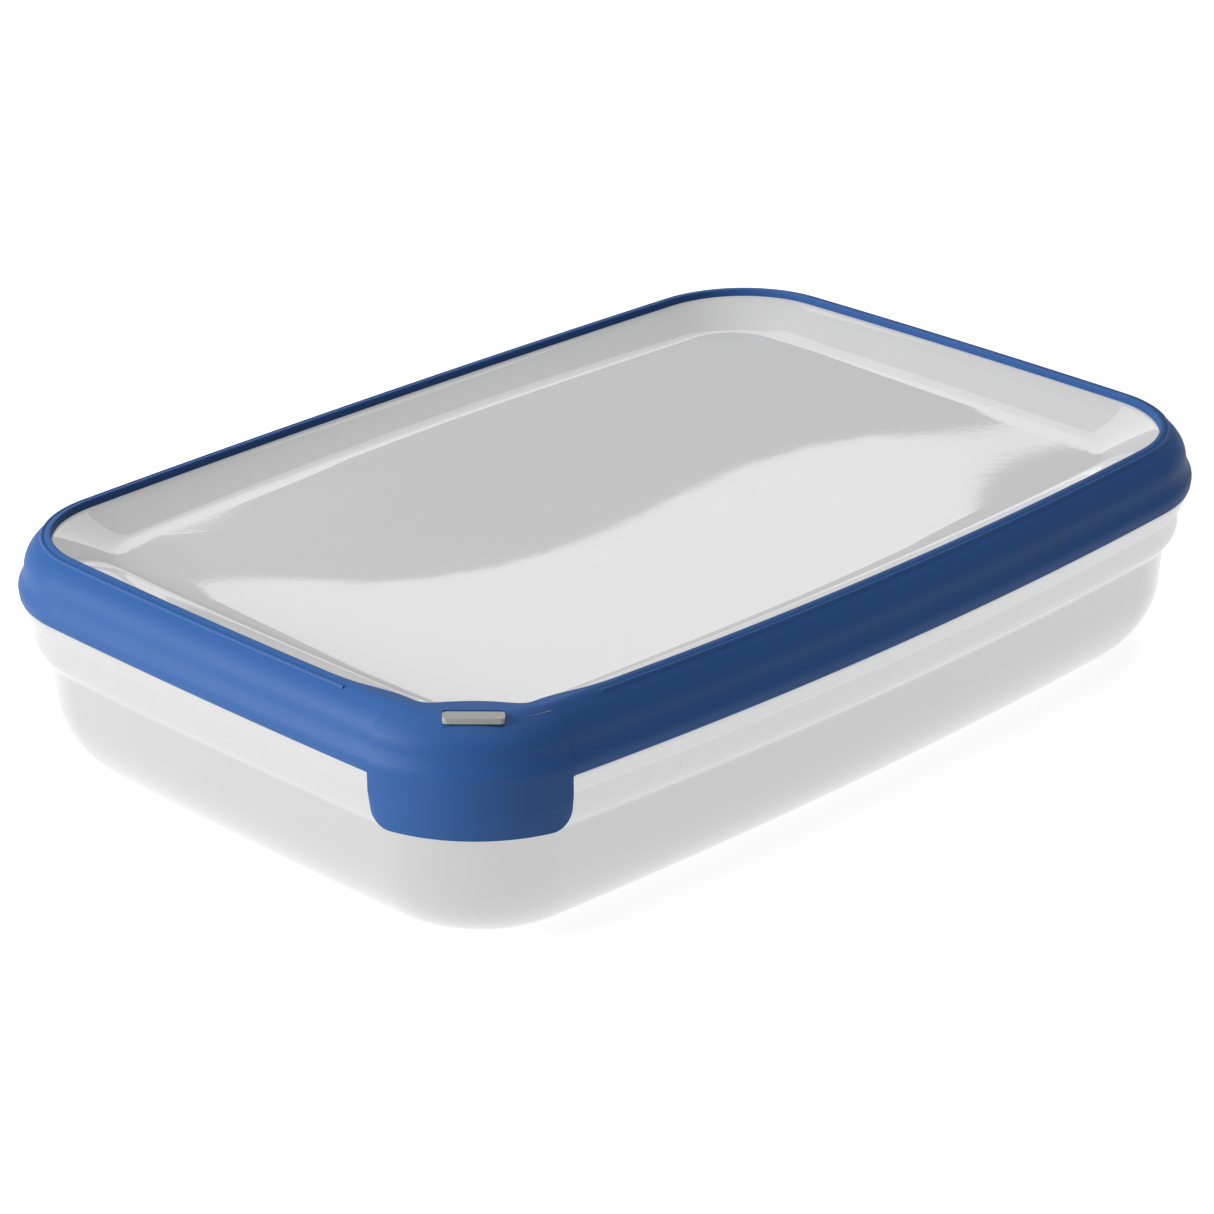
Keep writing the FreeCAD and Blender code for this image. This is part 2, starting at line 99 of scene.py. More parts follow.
def outlineArcs(halfLong, halfShort, corner, longRadius, shortRadius):
    # eight tangent arcs (centre x, centre y, radius, start, end), anticlockwise from the +X side
    cx, cy = cornerCentre(halfLong, halfShort, corner, longRadius, shortRadius)
    sideX, topY = halfLong - shortRadius, halfShort - longRadius
    side = math.atan2(cy, cx - sideX)
    top = math.atan2(cy - topY, cx)
    half, full = math.pi, 2 * math.pi
    return [
        (sideX, 0, shortRadius, -side, side),
        (cx, cy, corner, side, top),
        (0, topY, longRadius, top, half - top),
        (-cx, cy, corner, half - top, half - side),
        (-sideX, 0, shortRadius, half - side, half + side),
        (-cx, -cy, corner, half + side, half + top),
        (0, -topY, longRadius, half + top, full - top),
        (cx, -cy, corner, full - top, full - side),
    ]


def insetArcs(inset, cornerInset):
    return outlineArcs(
        plan["halfLength"] - inset, plan["halfWidth"] - inset, plan["corner"] - cornerInset,
        plan["longRadius"] - inset, plan["shortRadius"] - inset)


def arcPoints(arcs, sideSteps=26, cornerSteps=24):
    points = []
    for k, (cx, cy, radius, start, end) in enumerate(arcs):
        steps = cornerSteps if k % 2 else sideSteps
        for step in range(steps):
            angle = start + (end - start) * step / steps
            points.append((cx + radius * math.cos(angle), cy + radius * math.sin(angle)))
    return points


def softPath(corners, steps=5, closed=False):
    # corners are (x, y, cut): each is rounded by a curve that starts and ends its cut away
    path = []
    count = len(corners)
    for k, (x, y, cut) in enumerate(corners):
        here = Vector((x, y))
        if not closed and k in (0, count - 1):
            path.append((x, y))
            continue
        before = Vector(corners[k - 1][:2]) - here
        after = Vector(corners[(k + 1) % count][:2]) - here
        start = here + before.normalized() * min(cut, before.length * 0.48)
        end = here + after.normalized() * min(cut, after.length * 0.48)
        for step in range(steps + 1):
            share = step / steps
            spot = start * (1 - share) ** 2 + here * 2 * share * (1 - share) + end * share ** 2
            path.append((spot.x, spot.y))
    return path


def ringMesh(name, rings, closedSection=False, sharp=40):
    # rings of (x, y, z) in millimetres, one after the other along the section
    mesh = bpy.data.meshes.new(name)
    count = len(rings[0])
    vertices = [(x * mm, y * mm, (z - sagAt(x, z)) * mm) for ring in rings for x, y, z in ring]
    faces = []
    last = len(rings) if closedSection else len(rings) - 1
    for k in range(last):
        low, high = k * count, (k + 1) % len(rings) * count
        for j in range(count):
            following = (j + 1) % count
            faces.append((low + j, low + following, high + following, high + j))
    if not closedSection:
        faces.append(tuple(range(count)))
        faces.append(tuple(reversed(range((len(rings) - 1) * count, len(rings) * count))))
    mesh.from_pydata(vertices, [], faces)
    tool = bmesh.new()
    tool.from_mesh(mesh)
    bmesh.ops.recalc_face_normals(tool, faces=tool.faces)
    tool.to_mesh(mesh)
    tool.free()
    piece = bpy.data.objects.new(name, mesh)
    bpy.context.collection.objects.link(piece)
    for polygon in mesh.polygons:
        polygon.use_smooth = True
    mesh.set_sharp_from_angle(angle=math.radians(sharp))
    return piece


# ---- camera ----

view = {
    "azimuth": -44.84, "elevation": 23.75, "roll": -0.46, "distance": 1317.3,
    "target": (-31.8, -24.4, 54.6), "lens": 119.56, "sensor": 36, "clip": 50,
}


def makeCamera():
    azimuth, elevation, roll = [math.radians(view[key]) for key in ("azimuth", "elevation", "roll")]
    back = Vector((math.sin(azimuth) * math.cos(elevation),
                   -math.cos(azimuth) * math.cos(elevation), math.sin(elevation)))
    side = Vector((math.cos(azimuth), math.sin(azimuth), 0))
    up = back.cross(side)
    right = side * math.cos(roll) + up * math.sin(roll)
    up = up * math.cos(roll) - side * math.sin(roll)
    camera = bpy.data.objects.new("camera", bpy.data.cameras.new("camera"))
    bpy.context.collection.objects.link(camera)
    camera.data.lens = view["lens"]
    camera.data.sensor_width = view["sensor"]
    camera.data.clip_end = view["clip"]
    place = Matrix((right, up, back)).transposed().to_4x4()
    place.translation = (Vector(view["target"]) + back * view["distance"]) * mm
    camera.matrix_world = place
    bpy.context.scene.camera = camera


makeCamera()
print("camera set")


# ---- shader tools ----

class Value:
    # a number inside a shader that can be added, taken away, multiplied and divided
    def __init__(self, tree, socket):
        self.tree, self.socket = tree, socket

    def combine(self, operation, first, second=None):
        inputs = {0: first} if second is None else {0: first, 1: second}
        return self.tree.node("ShaderNodeMath", {"operation": operation}, inputs)

    def __add__(self, other):
        return self.combine("ADD", self, other)

    def __radd__(self, other):
        return self.combine("ADD", other, self)

    def __sub__(self, other):
        return self.combine("SUBTRACT", self, other)

    def __rsub__(self, other):
        return self.combine("SUBTRACT", other, self)

    def __mul__(self, other):
        return self.combine("MULTIPLY", self, other)

    def __rmul__(self, other):
        return self.combine("MULTIPLY", other, self)

    def __truediv__(self, other):
        return self.combine("DIVIDE", self, other)

    def __rtruediv__(self, other):
        return self.combine("DIVIDE", other, self)


class Finish:
    # one material: its principled shader and the nodes that feed it
    def __init__(self, name):
        self.material = bpy.data.materials.new(name)
        self.material.use_nodes = True
        self.tree = self.material.node_tree
        self.tree.nodes.clear()
        self.output = self.tree.nodes.new("ShaderNodeOutputMaterial")

    def node(self, kind, settings=None, inputs=None, output=0):
        item = self.tree.nodes.new(kind)
        for name, setting in (settings or {}).items():
            setattr(item, name, setting)
        for key, given in (inputs or {}).items():
            if isinstance(given, Value):
                self.tree.links.new(given.socket, item.inputs[key])
            else:
                item.inputs[key].default_value = given
        return Value(self, item.outputs[output])

    def place(self):
        return self.node("ShaderNodeTexCoord", output="Object")

    def height(self):
        return self.node("ShaderNodeSeparateXYZ", inputs={0: self.place()}, output="Z")

    def noise(self, scale, detail=2.0, roughness=0.5):
        return self.node("ShaderNodeTexNoise", inputs={
            "Vector": self.place(), "Scale": scale, "Detail": detail, "Roughness": roughness})

    def between(self, value, low, high, soft):
        # 1 where the value is between low and high, fading over soft
        ends = {"interpolation_type": "SMOOTHSTEP"}
        rise = self.node("ShaderNodeMapRange", ends,
                         {"Value": value, "From Min": low - soft, "From Max": low + soft})
        fall = self.node("ShaderNodeMapRange", ends,
                         {"Value": value, "From Min": high - soft, "From Max": high + soft})
        return rise * (1 - fall)

    def mixColour(self, factor, first, second):
        return self.node("ShaderNodeMix", {"data_type": "RGBA"},
                         {"Factor": factor, 6: first, 7: second}, output=2)

    def bump(self, height, strength, distance):
        return self.node("ShaderNodeBump", inputs={
            "Height": height, "Strength": strength, "Distance": distance})

    def surface(self, shader):
        self.tree.links.new(shader.socket, self.output.inputs["Surface"])
        return self.material


def softRimFinish(look):
    finish = Finish("soft blue moulding")
    cloud = finish.noise(22, 3)
    grain = finish.noise(1400, 2)
    colour = finish.mixColour(cloud, look["dark"] + (1,), look["light"] + (1,))
    shader = finish.node("ShaderNodeBsdfPrincipled", inputs={
        "Base Color": colour,
        "Roughness": look["roughness"] + 0.12 * (grain - 0.5),
        "Specular IOR Level": look["specular"],
        "Sheen Weight": look["sheen"],
        "Sheen Roughness": 0.5,
        "Normal": finish.bump(grain, 0.25, 0.0002),
    })
    return finish.surface(shader)


def tubFinish(look):
    # milky plastic with a weak painted glow: a steady emission stands in for light passing through it,
    # strongest in the frosted band
    finish = Finish("milky moulded plastic")
    frostAndPaintedGlow = finish.between(finish.height(), look["frostAndPaintedGlowLow"] * mm, look["frostAndPaintedGlowHigh"] * mm, 0.0006)
    cloud = finish.noise(9, 2)
    grain = finish.noise(900, 3, 0.6)
    colour = finish.mixColour(cloud, look["dark"] + (1,), look["light"] + (1,))
    # painted glow: the emission brightness, raised and speckled in the frosted band
    lampAndPaintedGlow = look["lampAndPaintedGlow"] + 0.07 * frostAndPaintedGlow + 0.06 * frostAndPaintedGlow * (grain - 0.5)
    edge = finish.node("ShaderNodeLayerWeight", inputs={"Blend": 0.3}, output="Facing")
    shader = finish.node("ShaderNodeBsdfPrincipled", inputs={
        "Base Color": colour,
        "Roughness": look["roughness"] + 0.2 * frostAndPaintedGlow + 0.05 * (grain - 0.5),
        "Specular IOR Level": 0.5,
        "Alpha": look["body"] + (1 - look["body"]) * edge,
        "Emission Color": finish.node("ShaderNodeCombineColor", inputs={0: lampAndPaintedGlow, 1: lampAndPaintedGlow, 2: lampAndPaintedGlow}),
        "Emission Strength": 1.0,
        "Normal": finish.bump(grain, 0.08 + 0.4 * frostAndPaintedGlow, 0.0002),
    })
    return finish.surface(shader)


def lidFinish(look):
    finish = Finish("clear grey plastic")
    cloud = finish.noise(7, 2)
    fine = finish.noise(420, 2)
    colour = finish.mixColour(cloud, look["dark"] + (1,), look["light"] + (1,))
    edge = finish.node("ShaderNodeLayerWeight", inputs={"Blend": 0.3}, output="Facing")
    shader = finish.node("ShaderNodeBsdfPrincipled", inputs={
        "Base Color": colour,
        "Roughness": look["roughness"] + 0.01 * (fine - 0.5),
        "Specular IOR Level": look["specular"],
        "Alpha": look["body"] + (1 - look["body"]) * edge,
        # painted glow: a steady grey emission that lightens the clear lid
        "Emission Color": look["lampAndPaintedGlow"] + (1,),
        "Emission Strength": 1.0,
        "Normal": finish.bump(fine, 0.005, 0.0001),
    })
    return finish.surface(shader)


def plainFinish(name, colour, roughness, lampAndPaintedGlow=0.0):
    finish = Finish(name)
    deep = tuple(0.94 * part for part in colour)
    shader = finish.node("ShaderNodeBsdfPrincipled", inputs={
        "Base Color": finish.mixColour(finish.noise(60, 2), deep + (1,), colour + (1,)),
        "Roughness": roughness, "Specular IOR Level": 0.2,
        "Emission Color": (1, 1, 1, 1), "Emission Strength": lampAndPaintedGlow})
    return finish.surface(shader)


blueFinish = softRimFinish({
    "dark": (0.013, 0.056, 0.178), "light": (0.016, 0.064, 0.200), "roughness": 0.55,
    "specular": 0.15, "sheen": 0.03})
# the tub's lampAndPaintedGlow is painted glow, a steady emission that stands in for light passing through
milkyFinish = tubFinish({
    "dark": (0.07, 0.07, 0.07), "light": (0.09, 0.09, 0.09), "roughness": 0.3, "lampAndPaintedGlow": 0.46, "body": 0.85,
    "frostAndPaintedGlowLow": 47.5, "frostAndPaintedGlowHigh": 65.0})
# the lid's lampAndPaintedGlow is painted glow, a steady grey emission
clearFinish = lidFinish({
    "dark": (0.28, 0.28, 0.28), "light": (0.30, 0.30, 0.30), "roughness": 0.012, "specular": 0.4,
    "lampAndPaintedGlow": (0.20, 0.20, 0.20), "body": 0.85})
plateFinish = plainFinish("matt grey plastic", (0.24, 0.24, 0.23), 0.5)
print("finishes made")


# ---- tub ----

tub = {
    "wall": 1.6, "rimInset": 5.65, "beadDepth": 1.2, "beadHeight": 73.7,
    "flangeInset": 1.05, "flangeTop": skirtBottom - 0.35, "flangeDrop": 6.5,
    "collarInset": 4.15, "collarTop": 57.0, "collarBottom": 49.2,
    "wallInset": 8.5, "wallTop": 43.0, "draft": math.radians(3.9),
    "blend": 32.7, "cornerShare": 0.53,
}


def lowerInset(turn, wall):
    # inset and height on the rounded lower wall: turn 0 is its top, a quarter turn the flat base
    reach = tub["wallInset"] + (tub["wallTop"] - tub["blend"]) * math.tan(tub["draft"])
    radius = tub["blend"] - wall
    return reach + tub["blend"] - radius * math.cos(turn), tub["blend"] - radius * math.sin(turn)


def makeTub():
    rim, wall = tub["rimInset"], tub["wall"]
    bead, flange, collar = tub["beadHeight"], tub["flangeTop"], tub["collarInset"]
    outer = softPath([
        (rim, tubHigh[2], 0),
        (rim, bead + 3, 0.8),
        (rim - tub["beadDepth"], bead + 1, 0.8),
        (rim - tub["beadDepth"], bead - 1, 0.8),
        (rim, bead - tub["beadDepth"] - 1, 0.6),
        (rim, flange, 0.5),
        (tub["flangeInset"], flange, 0.5),
        (tub["flangeInset"] + 0.1, flange - 1.2, 0.6),
        (tub["flangeInset"] + 2.3, flange - tub["flangeDrop"], 1.2),
        (collar, tub["collarTop"] + 0.8, 0.6),
        (collar, tub["collarBottom"] + 1.6, 1.6),
        (collar + 0.9, tub["collarBottom"] - 1.0, 1.2),
        (tub["wallInset"] - 0.2, tub["wallTop"] + 1.6, 2.0),
        (tub["wallInset"], tub["wallTop"], 0),
    ])
    inner = softPath([
        (tub["wallInset"] + wall, tub["wallTop"], 0),
        (tub["wallInset"] + wall, tub["wallTop"] + 1.2, 1.0),
        (rim + wall, tub["collarBottom"] + 1, 1.6),
        (rim + wall, tubHigh[2] - 0.1, 0.5),
        (rim, tubHigh[2], 0.5),
        (rim, bead + 3, 0),
    ])[:-1]
    turns = [math.pi / 2 * step / 18 for step in range(19)]
    rows = [(lowerInset(turn, wall), wall) for turn in reversed(turns)]
    rows += [((inset, height), None) for inset, height in inner]
    rows += [((inset, height), None) for inset, height in outer[1:]]
    rows += [(lowerInset(turn, 0), 0) for turn in turns]
    rings = []
    for (inset, height), lower in rows:
        if lower is None:
            corner = inset
        else:
            top = tub["wallInset"] + lower
            corner = top + tub["cornerShare"] * (inset - top)
        rings.append([(x, y, height) for x, y in arcPoints(insetArcs(inset, corner))])
    first, last = rings[0], rings[-1]
    shares = [0.02, 0.25, 0.5, 0.75, 0.92]
    floor = [[(x * k, y * k, z) for x, y, z in first] for k in shares]
    base = [[(x * k, y * k, z) for x, y, z in last] for k in reversed(shares)]
    return ringMesh("tubShell", floor + rings + base)


tubShell = makeTub()
tubShell.data.materials.append(milkyFinish)
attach(tubShell, "tub")
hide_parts("container_tub")
print("tub made")


# ---- corner of the lid ----

outlineAll = insetArcs(0, 0)
arcLengths = [radius * (end - start) for _, _, radius, start, end in outlineAll]
loopLength = sum(arcLengths)
tabArc = 5  # the corner arc between the -X and -Y sides
tabMiddle = sum(arcLengths[:tabArc]) + arcLengths[tabArc] / 2

tab = {
    "runLong": 42.5, "runShort": 48.7, "proud": 0.75, "wall": 1.5, "corner": 7.0,
    "fillet": 1.8, "webShort": 4.8, "webLong": 7.9, "chamferLeg": 21.6, "bow": 2.4,
    "slotLength": 18.7, "slotWidth": 5.5, "slotRound": 1.6, "slotBack": 7.6, "ridgeStop": 18.5,
}
webX = -(plan["halfLength"] - rimWidth - tab["webShort"])
webY = -(plan["halfWidth"] - rimWidth - tab["webLong"])
tabEndX = -(plan["halfLength"] - tab["runLong"])
tabEndY = -(plan["halfWidth"] - tab["runShort"])


def stationAt(distance):
    # point and outward normal of the widest outline, a distance on from the tab corner's middle
    along = (distance + tabMiddle) % loopLength
    for (cx, cy, radius, start, end), length in zip(outlineAll, arcLengths):
        if along <= length:
            angle = start + along / radius
            nx, ny = math.cos(angle), math.sin(angle)
            return Vector((cx + radius * nx, cy + radius * ny)), Vector((nx, ny))
        along -= length
    return stationAt(distance + 1e-6)


def tabEnds():
    # distances of the tab's two ends, towards the short side and towards the long side
    half = arcLengths[tabArc] / 2
    _, _, shortRadius, _, end = outlineAll[4]
    short = half + shortRadius * (end - math.pi - math.asin(-tabEndY / shortRadius))
    _, _, longRadius, start, _ = outlineAll[6]
    long = half + longRadius * (math.pi * 1.5 - math.asin(-tabEndX / longRadius) - start)
    return -short, long


tabStart, tabStop = tabEnds()
print("tab ends", round(tabStart, 1), round(tabStop, 1))


widening = {
    "shortFrom": -30, "longFrom": -90, "run": 20, "pastEnd": 3,
    "ease": 8, "chamferEase": 3.5, "bowEase": 11,
}


def innerEdge():
    # plan of the soft rim's inner edge near the tab: it widens, then cuts the corner in a chamfer
    # that bows into the lid
    inside = insetArcs(rimWidth, rimWidth)
    sideX, _, shortRadius = inside[4][:3]
    _, topY, longRadius = inside[6][:3]

    def onShort(y):
        return (sideX - math.sqrt(shortRadius ** 2 - y ** 2), y)

    def onLong(x):
        return (x, topY - math.sqrt(longRadius ** 2 - x ** 2))

    shortStart, longStart = tabEndY + widening["run"], tabEndX + widening["run"]
    ease, tight, past = widening["ease"], widening["chamferEase"], widening["pastEnd"]
    chamferA = Vector((webX, webY + tab["chamferLeg"]))
    chamferB = Vector((webX + tab["chamferLeg"], webY))
    bow = (chamferA + chamferB) / 2 + Vector((1, 1)).normalized() * tab["bow"]
    corners = [
        (*onShort(widening["shortFrom"]), 0), (*onShort(shortStart), ease), (webX, tabEndY + past, ease),
        (chamferA.x, chamferA.y, tight), (bow.x, bow.y, widening["bowEase"]),
        (chamferB.x, chamferB.y, tight), (tabEndX + past, webY, ease),
        (*onLong(longStart), ease), (*onLong(widening["longFrom"]), 0),
    ]
    return [Vector(spot) for spot in softPath(corners, 8)]


edgeLine = innerEdge()


def crossing(start, way, line):
    # how far along a way from start the line is met, or None
    for a, b in zip(line, line[1:]):
        span = b - a
        turn = way.x * span.y - way.y * span.x
        if abs(turn) < 1e-9:
            continue
        gap = a - start
        along = (gap.x * span.y - gap.y * span.x) / turn
        share = (gap.x * way.y - gap.y * way.x) / turn
        if -1e-6 <= share <= 1 + 1e-6 and along > 0:
            return along
    return None


stations = {
    "pitch": 1.1, "endGaps": (0.25, -0.25, -1.0, -2.0), "cornerSteps": 10, "close": 0.3, "closeSteps": 8,
    "past": 3, "wide": 1.6, "wideSteps": 20, "near": 34, "farSteps": 150, "least": 0.12,
}


def rimStations():
    # distances of the cross-sections round the rim: close together near the tab
    spots = {0.0}
    pitch, past, far = stations["pitch"], stations["past"], loopLength / 2
    for side, end in ((-1, -tabStart), (1, tabStop)):
        near, steps = end + stations["near"], stations["farSteps"]
        spots.update(side * value for value in [k * pitch for k in range(1, int(end / pitch))])
        spots.update(side * (end - gap) for gap in stations["endGaps"])
        for step in range(1, stations["cornerSteps"]):
            turn = math.pi / 18 * step
            spots.add(side * (end - stations["endGaps"][0] - tab["corner"] * (1 - math.cos(turn))))
        spots.update(side * (end + stations["close"] * k) for k in range(1, stations["closeSteps"]))
        spots.update(side * (end + past + k * stations["wide"]) for k in range(stations["wideSteps"]))
        spots.update(side * (near + past + (far - near - past) * k / steps) for k in range(steps))
    spots.add(far)
    ordered = sorted(spots)
    kept = [ordered[0]]
    for spot in ordered[1:]:
        if spot - kept[-1] > stations["least"]:
            kept.append(spot)
    return kept


def smooth(value):
    value = min(max(value, 0), 1)
    return value * value * (3 - 2 * value)


rim = {
    "skirtWall": 3.6, "seatSlope": 1.9, "channelWidth": 4.45, "sealWall": 1.6, "capInset": 8.6,
    "sealDepth": 7.2, "webThick": 2.15, "panelThick": 1.5, "lipReach": 0.5, "lipBottom": 67.3,
    "lipThick": 4.2,
}


def rimSection(distance):
    # closed section (inset, height) at a distance from the tab corner's middle
    point, normal = stationAt(distance)
    met = crossing(point, -normal, edgeLine) if abs(distance) < 130 else None
    edge = min(met, 40) if met else rimWidth
    inTab = tabStart < distance < tabStop
    away = min(distance - tabStart, tabStop - distance)  # from the nearer tab end, inward
    bottom, low = skirtBottom, skirtBottom
    if inTab:
        rounding = tab["corner"]
        short = max(rounding - (away - 0.25), 0)
        low = tabBottom + rounding - math.sqrt(max(rounding ** 2 - short ** 2, 0))
    else:
        reach = max(tab["fillet"] + away, 0)  # small round where the tab grows out of the skirt
        low -= tab["fillet"] - math.sqrt(max(tab["fillet"] ** 2 - reach ** 2, 0))
    proud = tab["proud"] if inTab else 0
    draw = 0.0 if inTab else 1.0  # the skirt draws in at its foot, the tab hangs straight
    turnUnder = (bottom + low) / 2 if inTab else bottom + 0.6
    seat = tubHigh[2] + 0.2
    under = rimTop - rim["webThick"]
    inside = rim["skirtWall"]
    flapInside = tab["wall"] - tab["proud"] if inTab else inside
    # from the inner edge the crown falls in a dome; the skirt dips at its waist, then bulges
    outer = [
        (edge, under, 0.2),
        (edge, rimTop, 0.8),
        (10.3, rimTop - 0.25, 0.5),
        (8.9, rimTop - 1.05, 0.6),
        (7.75 - 0.1 * proud, rimTop - 2.0, 0.7),
        (5.9 - 0.3 * proud, rimTop - 3.55, 1.0),
        (4.2 - 0.5 * proud, rimTop - 5.55, 1.0),
        (3.0 - 0.8 * proud, rimTop - 7.6, 0.9),
        (2.4 - proud, rimTop - 9.6, 0.9),
        (2.1 - proud, rimTop - 12.0, 1.0),
        (1.3 - proud, rimTop - 14.2, 1.0),
        (0.3 - proud, rimTop - 16.0, 0.9),
        (0.0 - proud, rimTop - 17.3, 0.6),
        (0.1 * draw - proud, rimTop - 18.6, 1.0),
        (0.3 * draw - proud, turnUnder, 0.4),
        (0.75 - proud, low, 0.4),
    ]
    if inTab:
        inner = [
            (flapInside, low, 0.4),
            (flapInside, (bottom + low) / 2, 0.5),
            (flapInside, bottom - 0.4, 0.3),
            (flapInside, bottom + 0.3, 0.3),
            (inside, bottom + 0.3, 0.3),
            (inside, bottom + 6, 0.3),
            (inside, seat - rim["seatSlope"], 0.3),
            (inside + rim["seatSlope"], seat, 0.3),
            (rim["capInset"], seat, 0.3),
            (rim["capInset"], seat + 0.7, 0.2),
            (rim["capInset"], seat + 1.3, 0.2),
            (rim["capInset"], under - 0.6, 0.2),
            (rim["capInset"], under, 0.2),
            (edge - 1.3, under, 0.2),
            (edge - 1.3, seat, 0.2),
            (edge, seat, 0.2),
        ]
    else:
        reach = inside + rim["lipReach"]
        lip = rim["lipBottom"]
        channel = inside + rim["channelWidth"]
        seal = channel + rim["sealWall"]
        foot = seat - rim["sealDepth"]
        hang = under - rim["panelThick"]
        depth = 1.4 * smooth((edge - rimWidth) / 3)
        inner = [
            (inside, low, 0.4),
            (inside, lip, 0.3),
            (reach, lip + 2, 0.5),
            (reach, lip + rim["lipThick"] - 1, 0.5),
            (inside, lip + rim["lipThick"], 0.3),
            (inside, bottom + 8, 0.3),
            (inside, seat - rim["seatSlope"], 0.3),
            (inside + rim["seatSlope"], seat, 0.3),
            (channel, seat, 0.4),
            (channel, foot + 1, 0.5),
            (channel + 0.4, foot, 0.3),
            (seal, foot, 0.4),
            (seal, hang, 0.2),
            (edge - 1.3, hang, 0.2),
            (edge - 1.3, hang - depth, 0.2),
            (edge, hang - depth, 0.2),
        ]
    section = softPath(outer + inner, 4, closed=True)
    return [(point.x - normal.x * e, point.y - normal.y * e, z) for e, z in section]


def slotOutline(shrink):
    middle = (Vector((webX, webY + tab["chamferLeg"])) + Vector((webX + tab["chamferLeg"], webY))) / 2
    middle -= Vector((1, 1)).normalized() * tab["slotBack"]
    along, across = Vector((1, -1)).normalized(), Vector((1, 1)).normalized()
    halfLong, halfWide = tab["slotLength"] / 2 - shrink, tab["slotWidth"] / 2 - shrink
    rounding = tab["slotRound"]
    corners = [(-halfLong, -halfWide, rounding), (halfLong, -halfWide, rounding),
               (halfLong, halfWide, rounding), (-halfLong, halfWide, rounding)]
    return [middle + along * u + across * v for u, v in softPath(corners, 6, closed=True)]


def cutSlot(piece):
    outline = slotOutline(0)
    heights = (rimTop - rim["webThick"] - 0.4, rimTop + 3)
    cutter = ringMesh("slotCutter", [[(p.x, p.y, height) for p in outline] for height in heights])
    boolean = piece.modifiers.new("slot", "BOOLEAN")
    boolean.operation, boolean.solver, boolean.object = "DIFFERENCE", "EXACT", cutter
    depsgraph = bpy.context.evaluated_depsgraph_get()
    mesh = bpy.data.meshes.new_from_object(piece.evaluated_get(depsgraph))
    piece.modifiers.clear()
    piece.data = mesh
    bpy.data.objects.remove(cutter)


def makeRimSkin():
    columns = [rimSection(distance) for distance in rimStations()]
    rows = len(columns[0])
    rings = [[column[row] for column in columns] for row in range(rows)]
    skin = ringMesh("rimSkin", rings, closedSection=True, sharp=38)
    cutSlot(skin)
    skin.data.set_sharp_from_angle(angle=math.radians(38))
    return skin


rimSkin = makeRimSkin()
rimSkin.data.materials.append(blueFinish)
chamferMiddle = (webX + webX + tab["chamferLeg"]) / 2, (webY + webY + tab["chamferLeg"]) / 2
bendStart = Vector((chamferMiddle[0] + 0.5, chamferMiddle[1] + 0.5, rimTop)) * mm
bendEnd = Vector((chamferMiddle[0] - 6.5, chamferMiddle[1] - 6.5, rimTop)) * mm
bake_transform(rimSkin)
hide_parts("lid_rim", "corner_lift_tab", "snap_lip")
print("rim made", len(rimSkin.data.vertices))


# ---- stacking ridge ----

ridge = {"width": 1.3, "height": 0.6, "sink": 0.35, "inset": 8.6, "drop": 1.25}


def ridgeTree():
    tree = bpy.data.node_groups.new("ridge along a path", "GeometryNodeTree")
    for name, kind in (("Geometry", "NodeSocketGeometry"), ("Width", "NodeSocketFloat"),
                       ("Height", "NodeSocketFloat"), ("Finish", "NodeSocketMaterial")):
        tree.interface.new_socket(name, in_out="INPUT", socket_type=kind)
    tree.interface.new_socket("Geometry", in_out="OUTPUT", socket_type="NodeSocketGeometry")

    def add(kind, **links):
        item = tree.nodes.new(kind)
        for key, given in links.items():
            socket = item.inputs[key.replace("_", " ")]
            if isinstance(given, bpy.types.NodeSocket):
                tree.links.new(given, socket)
            else:
                socket.default_value = given
        return item

    given = tree.nodes.new("NodeGroupInput")
    circle = add("GeometryNodeCurvePrimitiveCircle", Resolution=12, Radius=0.5)
    scale = add("ShaderNodeCombineXYZ", X=given.outputs["Width"], Y=given.outputs["Height"], Z=1.0)
    oval = add("GeometryNodeTransform", Geometry=circle.outputs["Curve"], Scale=scale.outputs[0])
    sweep = add("GeometryNodeCurveToMesh", Curve=given.outputs["Geometry"],
                Profile_Curve=oval.outputs["Geometry"], Fill_Caps=True)
    shade = add("GeometryNodeSetShadeSmooth", Geometry=sweep.outputs["Mesh"])
    real = add("GeometryNodeRealizeInstances", Geometry=shade.outputs["Geometry"])
    paint = add("GeometryNodeSetMaterial", Geometry=real.outputs["Geometry"],
                Material=given.outputs["Finish"])
    out = tree.nodes.new("NodeGroupOutput")
    tree.links.new(paint.outputs["Geometry"], out.inputs["Geometry"])
    return tree


def setInput(modifier, name, given):
    for item in modifier.node_group.interface.items_tree:
        if item.item_type == "SOCKET" and item.in_out == "INPUT" and item.name == name:
            modifier[item.identifier] = given


